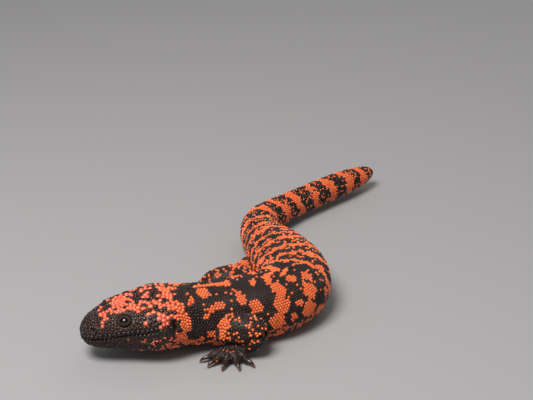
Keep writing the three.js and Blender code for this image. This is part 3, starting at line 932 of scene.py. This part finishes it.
def barriers():
    """Places that beads keep clear of: points and radii."""
    places = [(p, CLEARANCE["mouth"]) for p in MOUTH_LINE]
    places += [(p, CLEARANCE["eye"]) for p in EYE_PLACES]
    places += [(p, CLEARANCE["nostril"]) for p in NOSTRIL_PLACES]
    places += [(p, CLEARANCE["ear"]) for p in np.vstack(EAR_LINES)]
    return np.array([p for p, _ in places]), np.array([r for _, r in places])


def lip_plates():
    """Rows of plates above and below the mouth."""
    rows = []
    for way, spacing, offset in LIP_ROWS:
        line = MOUTH_LINE
        lengths = lengths_along(line)
        count = int(lengths[-1] / spacing) // 2 * 2 + 1
        marks = np.linspace(1.0, lengths[-1] - 1.0, count)
        centres = np.stack([np.interp(marks, lengths, line[:, k]) for k in range(3)], axis=1)
        centres[:, 2] += way * offset
        rows.append(centres)
    return np.vstack(rows)


def lattice(first, last, pitch):
    """Rows of places across the body, each row staggered by half a space."""
    stations = np.arange(first, last, 1.0)
    turns = np.linspace(0, 180, 61)
    at, turn = np.meshgrid(stations, turns, indexing="ij")
    out = []
    for side in (-1, 1):
        grid = hide_points(at, side * turn)
        steps = np.linalg.norm(np.diff(grid, axis=1), axis=2)
        arc = np.concatenate([np.zeros((len(stations), 1)), np.cumsum(steps, axis=1)], axis=1)
        apart = pitch * math.sqrt(3) / 2
        strings = int(arc[:, -1].max() / apart)
        for j in range(0 if side > 0 else 1, strings):
            reach = j * apart
            angle = np.array([np.interp(reach, arc[i], turns) for i in range(len(stations))])
            fits = reach < arc[:, -1] - pitch * 0.3
            line = hide_points(stations, side * angle)
            lengths = lengths_along(line)
            marks = np.arange(pitch / 2 if j % 2 else 0, lengths[-1], pitch)
            station = np.interp(marks, lengths, stations)
            turned = np.interp(station, stations, angle)
            keep = np.interp(station, stations, fits.astype(float)) > 0.99
            out.append(hide_points(station[keep], side * turned[keep]))
    return np.vstack(out)


# A bead of the rows that is further than this from the skin is left out.
ROW_GAP = 1.4
# How near two beads may be at first, as shares of their mean spacing.
ROW_SHARE = 0.7
FILL_SHARE = 0.86
# Edge length of the cells in which neighbours are looked up, more than the widest spacing.
CELL = 2.9


class Packing:
    """Bead centres spread over the skin."""

    def __init__(self, skin, settings):
        self.trunk_pitch = settings.trunk_pitch / MM
        self.numbers = np.random.default_rng(settings.seed)
        self.skin_points = mesh_points(skin)
        polygons = [tuple(face.vertices) for face in skin.data.polygons]
        self.surface = BVHTree.FromPolygons(self.skin_points.tolist(), polygons)
        self.barrier_points, self.barrier_radii = barriers()

    def snap(self, points):
        found = [self.surface.find_nearest(point) for point in points]
        places = np.array([f[0] for f in found])
        normals = np.array([f[1] for f in found])
        return places, normals, np.array([f[3] for f in found])

    def pitches(self, points):
        region, along_it, round_it = regions_of(points)
        return pitch_at(points, region, along_it, round_it, self.trunk_pitch)

    def clear(self, points, pitch):
        """Which points lie outside the barriers."""
        ok = np.ones(len(points), bool)
        for place, radius in zip(self.barrier_points, self.barrier_radii):
            near = np.linalg.norm(points - place, axis=1) < radius + 0.32 * pitch
            ok &= ~near
        return ok

    def seed(self):
        """First centres: the lips' plates, rows along the body, and then wherever there is room."""
        self.fixed = lip_plates()
        self.fixed, _, _ = self.snap(self.fixed)
        rows = np.vstack([lattice(74, 250, self.trunk_pitch), lattice(251.5, 398, 1.6)])
        places, _, gap = self.snap(rows)
        region, _, _ = regions_of(places)
        rows = places[(gap < ROW_GAP) & (region == 0)]
        chosen = np.vstack([self.fixed, rows])
        self.centres = self.thinned_and_filled(chosen)

    def thinned_and_filled(self, chosen):
        """Keeps the given points that aren't too close, then adds points where there is room."""
        order = np.arange(len(self.skin_points))
        self.numbers.shuffle(order)
        candidates = np.vstack([chosen, self.skin_points[order]])
        pitch = self.pitches(candidates)
        ok = self.clear(candidates, pitch)
        ok[: len(self.fixed)] = True
        share = np.where(np.arange(len(candidates)) < len(chosen), ROW_SHARE, FILL_SHARE)
        grid = {}
        kept = []
        steps = list(itertools.product((-1, 0, 1), repeat=3))
        for allowed, point, space, part in zip(ok, candidates.tolist(), pitch.tolist(), share.tolist()):
            if not allowed:
                continue
            x, y, z = (int(value // CELL) for value in point)
            nearby = (other for dx, dy, dz in steps for other in grid.get((x + dx, y + dy, z + dz), ()))
            if any(math.dist(other[0], point) < part * 0.5 * (space + other[1]) for other in nearby):
                continue
            grid.setdefault((x, y, z), []).append((point, space))
            kept.append(point)
        return np.array(kept)

    def neighbours(self, centres, count):
        tree = KDTree(len(centres))
        for i, centre in enumerate(centres):
            tree.insert(centre, i)
        tree.balance()
        index = np.zeros((len(centres), count), int)
        for i, centre in enumerate(centres):
            found = tree.find_n(centre, count + 1)
            index[i] = [f[1] for f in found[1:]]
        return index

    def relax(self, rounds):
        """Evens out the spacing."""
        fixed_count = len(self.fixed)
        for number in range(rounds):
            index = self.neighbours(self.centres, 7)
            if number % 3 == 0:
                pitch = self.pitches(self.centres)
            apart = self.centres[:, None, :] - self.centres[index]
            distance = np.linalg.norm(apart, axis=2)
            wanted = 0.5 * (pitch[:, None] + pitch[index])
            push = np.clip(wanted * 1.04 - distance, -0.05, None)
            push = np.where(distance < wanted * 1.3, push, 0)
            move = (apart / np.maximum(distance, 1e-6)[..., None] * push[..., None]).sum(axis=1) * 0.28
            near, nearest = distance_to(self.centres, self.barrier_points)
            inside = self.barrier_radii[nearest] + 0.5 * pitch - near
            away = (self.centres - self.barrier_points[nearest]) / np.maximum(near, 1e-6)[:, None]
            move += away * np.clip(inside, 0, None)[:, None] * 0.5
            size = np.linalg.norm(move, axis=1, keepdims=True)
            move *= np.minimum(1, 0.4 * pitch[:, None] / np.maximum(size, 1e-6))
            move[:fixed_count] = 0
            self.centres, self.normals, _ = self.snap(self.centres + move)
        self.pitch = self.pitches(self.centres)


# Radius of a bead: at most this share of the spacing, and at least this in millimetres.
WIDEST = 0.62
NARROWEST = 0.12
BEAD_GAP = 0.28
# A neighbour limits only the directions that face it by more than this cosine.
FACING = 0.25
# Outline of a bead from its sunk root to near its top: share of its radius, height, and whether that is a
# share of the bead's height. Otherwise it is in millimetres.
BEAD_PROFILE = ((1.0, -0.3, False), (0.97, 0.22, True), (0.79, 0.66, True), (0.44, 0.94, True))


def outline_radii(packing, index, directions):
    """How far each bead reaches in each direction before it meets its neighbours' midlines."""
    centres, normals, pitch = packing.centres, packing.normals, packing.pitch
    reference = np.where(np.abs(normals[:, 2:3]) > 0.9, (1.0, 0.0, 0.0), (0.0, 0.0, 1.0))
    first = np.cross(reference, normals)
    first /= np.linalg.norm(first, axis=1, keepdims=True)
    second = np.cross(normals, first)
    turn = np.linspace(0, 2 * math.pi, directions, endpoint=False)
    rays = first[:, None, :] * np.cos(turn)[None, :, None] + second[:, None, :] * np.sin(turn)[None, :, None]
    reach = np.full((len(centres), directions), WIDEST) * pitch[:, None]
    for k in range(index.shape[1]):
        other = centres[index[:, k]] - centres
        distance = np.linalg.norm(other, axis=1)
        unit = other / np.maximum(distance, 1e-6)[:, None]
        share = pitch / (pitch + pitch[index[:, k]])
        facing = (rays * unit[:, None, :]).sum(axis=2)
        limit = (distance * share - BEAD_GAP / 2)[:, None] / np.maximum(facing, FACING)
        reach = np.where(facing > FACING, np.minimum(reach, limit), reach)
    near, nearest = distance_to(centres, packing.barrier_points)
    other = packing.barrier_points[nearest] - centres
    unit = other / np.maximum(near, 1e-6)[:, None]
    facing = (rays * unit[:, None, :]).sum(axis=2)
    limit = (near - packing.barrier_radii[nearest])[:, None] / np.maximum(facing, FACING)
    reach = np.where((facing > FACING) & (near < 6)[:, None], np.minimum(reach, limit), reach)
    return np.maximum(reach, NARROWEST), rays


def bead_meshes(centres, normals, rays, reach, height):
    """Points and faces of one dome for each centre."""
    count, directions = reach.shape
    layers = []
    for wide, tall, scaled in BEAD_PROFILE:
        lift = tall * height if scaled else np.full(count, tall)
        outward = rays * (reach * wide)[..., None]
        layers.append(centres[:, None, :] + outward + normals[:, None, :] * lift[:, None, None])
    top = centres + normals * height[:, None]
    points = np.concatenate(layers + [top[:, None, :]], axis=1)
    per = points.shape[1]
    faces = ring_faces(len(BEAD_PROFILE), directions)
    last = (len(BEAD_PROFILE) - 1) * directions
    for j in range(directions):
        faces.append((last + j, last + (j + 1) % directions, per - 1))
    faces.append(tuple(reversed(range(directions))))
    return points, faces


UV_LIMB_BOXES = ((0.02, 0.66), (0.27, 0.66), (0.52, 0.66), (0.77, 0.66))
UV_PATCH = 0.003
SKIN_TRIANGLES = 190000


def unwrap_places(region, along_it, round_it, centres):
    """Where each bead's root lies on an unwrap of the skin."""
    u = 0.02 + 0.96 * along_it / TOTAL_LENGTH
    v = 0.02 + 0.60 * (round_it + 180) / 360
    for number in range(1, 5):
        mask = region == number
        left, bottom = UV_LIMB_BOXES[number - 1]
        line = LIMB_LINES[number - 1]
        nearest = np.clip(along_it * (len(line) - 1), 0, len(line) - 1).astype(int)
        offset = centres - line[nearest, :3]
        turn = np.arctan2(offset[:, 1], offset[:, 2])
        u = np.where(mask, left + 0.20 * along_it, u)
        v = np.where(mask, bottom + 0.30 * (turn / (2 * math.pi) + 0.5), v)
    return np.stack([u, v], axis=1)


HEAD_LENGTH = 60
# Plates cover the head down to this angle, and beads lie below it.
PLATE_ANGLE = 96
PLATE_SIDES = 12
BEAD_SIDES = 8
# Height of a dome, as a share of 2.2 times its radius.
PLATE_DOME = 0.34
BEAD_DOME = 0.38
TALLEST = 1.05
FLOOR_GAP = 0.02
BEADS_A_PIECE = 3000
# How ragged the edges of the coral are, and the share of single coral beads in the black.
RAGGED = {"temple": 0.5, "head": 0.1, "body": 0.13}
LONE_CORAL = {"body": 0.045, "limb": 0.11, "hand": 0.03, "band": 0.3}


class GILA_OT_beads(bpy.types.Operator):
    """Beads over the body and limbs, plates on the head and lips"""

    bl_idname = "gila.beads"
    bl_label = "Beads and plates"

    def execute(self, context):
        settings = context.scene.gila_hide
        skin = bpy.data.objects["skin"]
        packing = Packing(skin, settings)
        packing.seed()
        packing.relax(9)
        centres, normals = packing.centres, packing.normals
        region, along_it, round_it = regions_of(centres)
        index = packing.neighbours(centres, 10)
        numbers = packing.numbers
        on_head = (region == 0) & (along_it < HEAD_LENGTH)
        plates = on_head & (np.abs(round_it) < PLATE_ANGLE)
        plates |= np.arange(len(centres)) < len(packing.fixed)
        coral = self.coral_beads(centres, region, along_it, round_it, on_head, numbers)
        crown = (region == 0) * (1 - smoothstep(along_it, 50, 66))
        colours = self.colours(settings, coral, crown, numbers)
        material = markings_material("Beads", 0.24, 0.4, 1500, 0.00012)
        uv_places = unwrap_places(region, along_it, round_it, centres)
        groups = [("head_plates", plates, PLATE_SIDES, PLATE_DOME)]
        rest = np.where(~plates)[0]
        rest = rest[np.argsort(region[rest] * 1000 + np.where(region[rest] == 0, along_it[rest], 0))]
        for number, first in enumerate(range(0, len(rest), BEADS_A_PIECE), start=1):
            mask = np.zeros(len(centres), bool)
            mask[rest[first : first + BEADS_A_PIECE]] = True
            groups.append((f"beads_{number}", mask, BEAD_SIDES, BEAD_DOME))
        print("beads", len(centres), "coral", int(coral.sum()))
        for name, mask, directions, dome in groups:
            reach, rays = outline_radii(packing, index, directions)
            chosen = np.where(mask)[0]
            width = reach[chosen].mean(axis=1)
            height = dome * 2.2 * width * numbers.uniform(0.85, 1.15, len(chosen))
            # Beads near the floor are pressed flatter.
            low = np.clip((centres[chosen, 2] - 0.4) / 3.0, 0.12, 1)
            height = np.minimum(height * low, TALLEST)
            points, faces = bead_meshes(centres[chosen], normals[chosen], rays[chosen], reach[chosen], height)
            points[..., 2] = np.maximum(points[..., 2], FLOOR_GAP)
            self.build(name, points, faces, colours[chosen], uv_places[chosen], material)
        return {"FINISHED"}

    def coral_beads(self, centres, region, along_it, round_it, on_head, numbers):
        """Which beads are coral: those of the patches and bands, with ragged edges, and some single ones."""
        amount = coral_amount(centres, region, along_it, round_it)
        temple = on_head & (along_it > 35) & (np.abs(round_it) > 26) & (np.abs(round_it) < 56)
        ragged = np.where(temple, RAGGED["temple"], np.where(on_head, RAGGED["head"], RAGGED["body"]))
        flip = numbers.normal(0, 1, len(centres)) * ragged
        on_body = np.where(on_head, 0.0, LONE_CORAL["body"])
        on_limb = np.where(along_it < 0.8, LONE_CORAL["limb"], LONE_CORAL["hand"])
        lone_share = np.where(region == 0, on_body, on_limb)
        # The black bands behind the trunk carry rows of single coral beads.
        in_band = (region == 0) & (along_it > 148) & (amount < -0.4)
        lone_share = np.where(in_band, LONE_CORAL["band"], lone_share)
        lone = numbers.random(len(centres)) < lone_share
        return ((amount + flip) > 0) | lone

    def colours(self, settings, coral, crown, numbers):
        crown = crown[:, None]
        light = np.array(settings.coral) * (1 - crown) + np.array(settings.crown_coral) * crown
        dark = np.array(settings.black)
        shade = numbers.uniform(0.82, 1.12, (len(coral), 1))
        warmth = numbers.normal(1, 0.07, (len(coral), 3))
        return np.where(coral[:, None], light, dark) * shade * warmth

    def build(self, name, points, faces, colours, uv_places, material):
        count, per, _ = points.shape
        flat = points.reshape(-1, 3)
        base = np.arange(count) * per
        loops = np.concatenate([np.array(face) for face in faces])
        sizes = np.array([len(face) for face in faces])
        mesh = bpy.data.meshes.new(name)
        mesh.vertices.add(len(flat))
        mesh.vertices.foreach_set("co", ((flat + SHIFT) * MM).ravel())
        all_loops = (base[:, None] + loops[None, :]).ravel()
        all_sizes = np.tile(sizes, count)
        mesh.loops.add(len(all_loops))
        mesh.loops.foreach_set("vertex_index", all_loops)
        mesh.polygons.add(len(all_sizes))
        starts = np.concatenate([[0], np.cumsum(all_sizes)[:-1]])
        mesh.polygons.foreach_set("loop_start", starts)
        mesh.polygons.foreach_set("use_smooth", np.ones(len(all_sizes), bool))
        mesh.update(calc_edges=True)
        write_colours(mesh, np.repeat(colours, per, axis=0))
        centre = points.mean(axis=1, keepdims=True)
        spread = np.linalg.norm(points - centre, axis=2).max(axis=1)
        local = (points - centre)[..., :2] / spread[:, None, None] * UV_PATCH / 2
        uv = (uv_places[:, None, :] + local).reshape(-1, 2)
        layer = mesh.uv_layers.new(name="OFBake")
        layer.data.foreach_set("uv", uv[all_loops].ravel())
        mesh.materials.append(material)
        obj = bpy.data.objects.new(name, mesh)
        bpy.context.scene.collection.objects.link(obj)
        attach(obj, "root")


class GILA_OT_thin_skin(bpy.types.Operator):
    """Fewer faces where the skin is smooth, once the beads lie on it"""

    bl_idname = "gila.thin_skin"
    bl_label = "Thinner skin"

    def execute(self, context):
        skin = bpy.data.objects["skin"]
        activate(skin)
        triangles = sum(len(face.vertices) - 2 for face in skin.data.polygons)
        thinner = skin.modifiers.new("Thinner", "DECIMATE")
        thinner.ratio = min(1, SKIN_TRIANGLES / triangles)
        bpy.ops.object.modifier_apply(modifier=thinner.name)
        return {"FINISHED"}


EYE_COLOUR = (0.012, 0.008, 0.006)
LID_COLOUR = (0.024, 0.010, 0.006)
LID_SIDES = 120
# Length and height of the lid ring, as shares of the outline's reach.
LID_LONG = 1.26
LID_TALL = 0.94
# Outline of the lids, from the eye outwards and back underneath: distance from the eye's axis, rise.
LID_PROFILE = (
    (2.0, -1.5), (2.05, -0.1), (2.15, 0.3), (2.35, 0.42), (2.6, 0.18), (2.8, 0.32), (3.0, 0.06), (3.2, 0.14),
    (3.45, -0.15), (3.75, -0.8), (3.5, -2.0), (2.4, -2.2),
)


class GILA_OT_eyes(bpy.types.Operator):
    """Two glossy eyes with a lid ring round each"""

    bl_idname = "gila.eyes"
    bl_label = "Eyes and lids"

    def execute(self, context):
        eye_material, _, shader = make_material("Eye", 0.06, coat=1.0)
        shader.inputs["Base Color"].default_value = (*EYE_COLOUR, 1)
        lid_material, _, lid_shader = make_material("Lid", 0.6, specular=0.25)
        lid_shader.inputs["Base Color"].default_value = (*LID_COLOUR, 1)
        for name, side in (("left", -1), ("right", 1)):
            centre = (eye_centre(side) + SHIFT) * MM
            deselect_all()
            bpy.ops.mesh.primitive_uv_sphere_add(
                segments=32, ring_count=20, radius=(EYE["radius"] - EYE["shrunk"]) * MM, location=centre
            )
            eye = self.finished(f"dressed_eye_{name}", eye_material, "eye")
            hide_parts(f"eye_{name}")
            lid = new_object(f"lid_{name}", *self.lid(side))
            activate(lid)
            self.finished(f"lid_{name}", lid_material, "beaded_hide")
        return {"FINISHED"}

    def lid(self, side):
        """A wrinkled almond ring round the eye: its outline is swept round the eye's axis."""
        angle = side * EYE["angle"]
        place = hide_points(EYE["at"], angle)
        normal = hide_normals(EYE["at"], angle)
        ahead = hide_points(EYE["at"] - 1, angle) - hide_points(EYE["at"] + 1, angle)
        ahead -= normal * (ahead @ normal)
        ahead /= np.linalg.norm(ahead)
        upward = np.cross(ahead, normal) * side
        upward *= 1 if upward[2] > 0 else -1
        turn = np.linspace(0, 2 * math.pi, LID_SIDES, endpoint=False)
        points = []
        for radius, rise in LID_PROFILE:
            pointed = np.interp(radius, [2, 3.75], [1.6, 2.0])
            across = np.abs(np.cos(turn) / LID_LONG) ** pointed
            upright = np.abs(np.sin(turn) / LID_TALL) ** pointed
            reach = (across + upright) ** (-1 / pointed)
            inner = np.interp(radius, [2, 3.2], [1, 0])
            reach = reach * radius * (1 - 0.10 * inner * np.sin(turn))
            lift = rise + 0.35 * inner * np.maximum(np.sin(turn), 0) * (rise > -1)
            lift = lift + 0.07 * np.sin(19 * turn + 3 * radius) + 0.05 * np.sin(31 * turn - 5 * radius)
            ring = place + np.outer(reach * np.cos(turn), ahead) + np.outer(reach * np.sin(turn), upward)
            points.append(ring + np.outer(lift, normal))
        return np.vstack(points), ring_faces(len(LID_PROFILE), LID_SIDES, looped=True)

    def finished(self, name, material, slot):
        obj = bpy.context.object
        obj.name = name
        bpy.ops.object.transform_apply(location=True, rotation=True, scale=True)
        bpy.ops.object.shade_smooth()
        obj.data.materials.append(material)
        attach(obj, "root")
        return obj


CLAW_ROOT_COLOUR = (0.030, 0.013, 0.009)
CLAW_TIP_COLOUR = (0.34, 0.12, 0.03)


class GILA_OT_claws(bpy.types.Operator):
    """Five curved claws on each hand and foot"""

    bl_idname = "gila.claws"
    bl_label = "Claws"

    def execute(self, context):
        material = markings_material("Horn", 0.25, 0.3, 900, 0.00005)
        for name, limb in LIMBS.items():
            parts = [self.claw(limb, direction, reach) for direction, reach in limb["spread"]]
            claws = new_object(f"claws_{name}", *merged(parts))
            tip = np.clip((CLAW["dark_above"] - mesh_points(claws)[:, 2:]) / CLAW["fade"], 0, 1)
            colours = np.array(CLAW_ROOT_COLOUR) * (1 - tip) + np.array(CLAW_TIP_COLOUR) * tip
            write_colours(claws.data, colours)
            activate(claws)
            bpy.ops.object.shade_smooth()
            claws.data.materials.append(material)
            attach(claws, "root")
            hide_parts(*[f"{name}_claw_{i}" for i in range(1, 6)])
        return {"FINISHED"}

    def claw(self, limb, direction, reach):
        tip = np.array(finger_joints(limb, direction, reach)[2][:3])
        way = np.array([math.cos(math.radians(direction)), math.sin(math.radians(direction)), 0])
        line = []
        for t in np.linspace(-0.25, 1, 12):
            radius = CLAW["root"] + (CLAW["tip"] - CLAW["root"]) * max(t, 0) ** 1.4
            centre = tip + way * CLAW["length"] * math.sin(t * math.pi / 2)
            centre[2] = tip[2] + 0.3 - CLAW["drop"] * (1 - math.cos(t * math.pi / 2))
            line.append((*centre, radius))
        points, faces = tube(line, CLAW["sides"])
        points[:, 2] = np.maximum(points[:, 2], 0.0)
        return points, faces


FLOOR_SIZE = 8
# Lights: place and size in metres.
MAIN_LIGHT = ((-0.3, -0.55, 1.1), 0.5)
FAR_LIGHT = ((0.5, 0.9, 1.0), 0.9)
# Power of the far light, as a share of the main light's.
FAR_SHARE = 0.14
ROOM_LIGHT = 0.33
ROOM_IN_REFLECTIONS = 0.06


class GILA_OT_stage(bpy.types.Operator):
    """Plain floor, soft lights and the camera"""

    bl_idname = "gila.stage"
    bl_label = "Stage"

    def execute(self, context):
        settings = context.scene.gila_stage
        deselect_all()
        bpy.ops.mesh.primitive_plane_add(size=FLOOR_SIZE)
        floor = context.object
        floor.name = "floor"
        material, _, shader = make_material("Floor", 0.8, specular=0.2)
        shader.inputs["Base Color"].default_value = (*settings.floor, 1)
        floor.data.materials.append(material)
        self.light("Main light", *MAIN_LIGHT, settings.key_power)
        self.light("Far light", *FAR_LIGHT, settings.key_power * FAR_SHARE)
        world = bpy.data.worlds.new("Studio")
        world.use_nodes = True
        background = world.node_tree.nodes["Background"]
        background.inputs["Color"].default_value = (1, 1, 1, 1)
        # A dim room in reflections keeps the dark beads dark beside their highlights.
        rays = world.node_tree.nodes.new("ShaderNodeLightPath")
        strength = world.node_tree.nodes.new("ShaderNodeMapRange")
        strength.inputs["To Min"].default_value = ROOM_LIGHT
        strength.inputs["To Max"].default_value = ROOM_IN_REFLECTIONS
        world.node_tree.links.new(rays.outputs["Is Glossy Ray"], strength.inputs["Value"])
        world.node_tree.links.new(strength.outputs["Result"], background.inputs["Strength"])
        context.scene.world = world
        context.scene.view_settings.view_transform = "Standard"
        bpy.ops.object.camera_add(
            location=tuple((np.array(CAMERA_PLACE) + SHIFT) * MM),
            rotation=(math.radians(90 - CAMERA_DOWN), 0, 0),
        )
        camera = context.object
        camera.data.lens = CAMERA_LENS
        camera.data.clip_end = 20
        context.scene.camera = camera
        return {"FINISHED"}

    def light(self, name, place, size, power):
        bpy.ops.object.light_add(type="AREA", location=place)
        light = bpy.context.object
        light.name = name
        light.data.size = size
        light.data.energy = power
        aim = Vector((0, 0, 0)) - Vector(place)
        light.rotation_euler = aim.to_track_quat("-Z", "Y").to_euler()


class GILA_PT_panel(bpy.types.Panel):
    """Lists the steps"""

    bl_label = "Gila monster"
    bl_idname = "GILA_PT_panel"
    bl_space_type = "VIEW_3D"
    bl_region_type = "UI"
    bl_category = "Gila"

    def draw(self, context):
        for operator in OPERATORS:
            self.layout.operator(operator.bl_idname)
        for settings in (context.scene.gila_hide, context.scene.gila_stage):
            for name in settings.__annotations__:
                self.layout.prop(settings, name)


OPERATORS = (GILA_OT_skin, GILA_OT_beads, GILA_OT_thin_skin, GILA_OT_eyes, GILA_OT_claws, GILA_OT_stage)
CLASSES = (HideSettings, StageSettings) + OPERATORS + (GILA_PT_panel,)


def register():
    for cls in CLASSES:
        bpy.utils.register_class(cls)
    bpy.types.Scene.gila_hide = PointerProperty(type=HideSettings)
    bpy.types.Scene.gila_stage = PointerProperty(type=StageSettings)


def unregister():
    del bpy.types.Scene.gila_stage
    del bpy.types.Scene.gila_hide
    for cls in reversed(CLASSES):
        bpy.utils.unregister_class(cls)


def main():
    register()
    bpy.ops.gila.skin()
    bpy.ops.gila.beads()
    bpy.ops.gila.thin_skin()
    bpy.ops.gila.eyes()
    bpy.ops.gila.claws()
    bpy.ops.gila.stage()


if __name__ == "__main__":
    main()
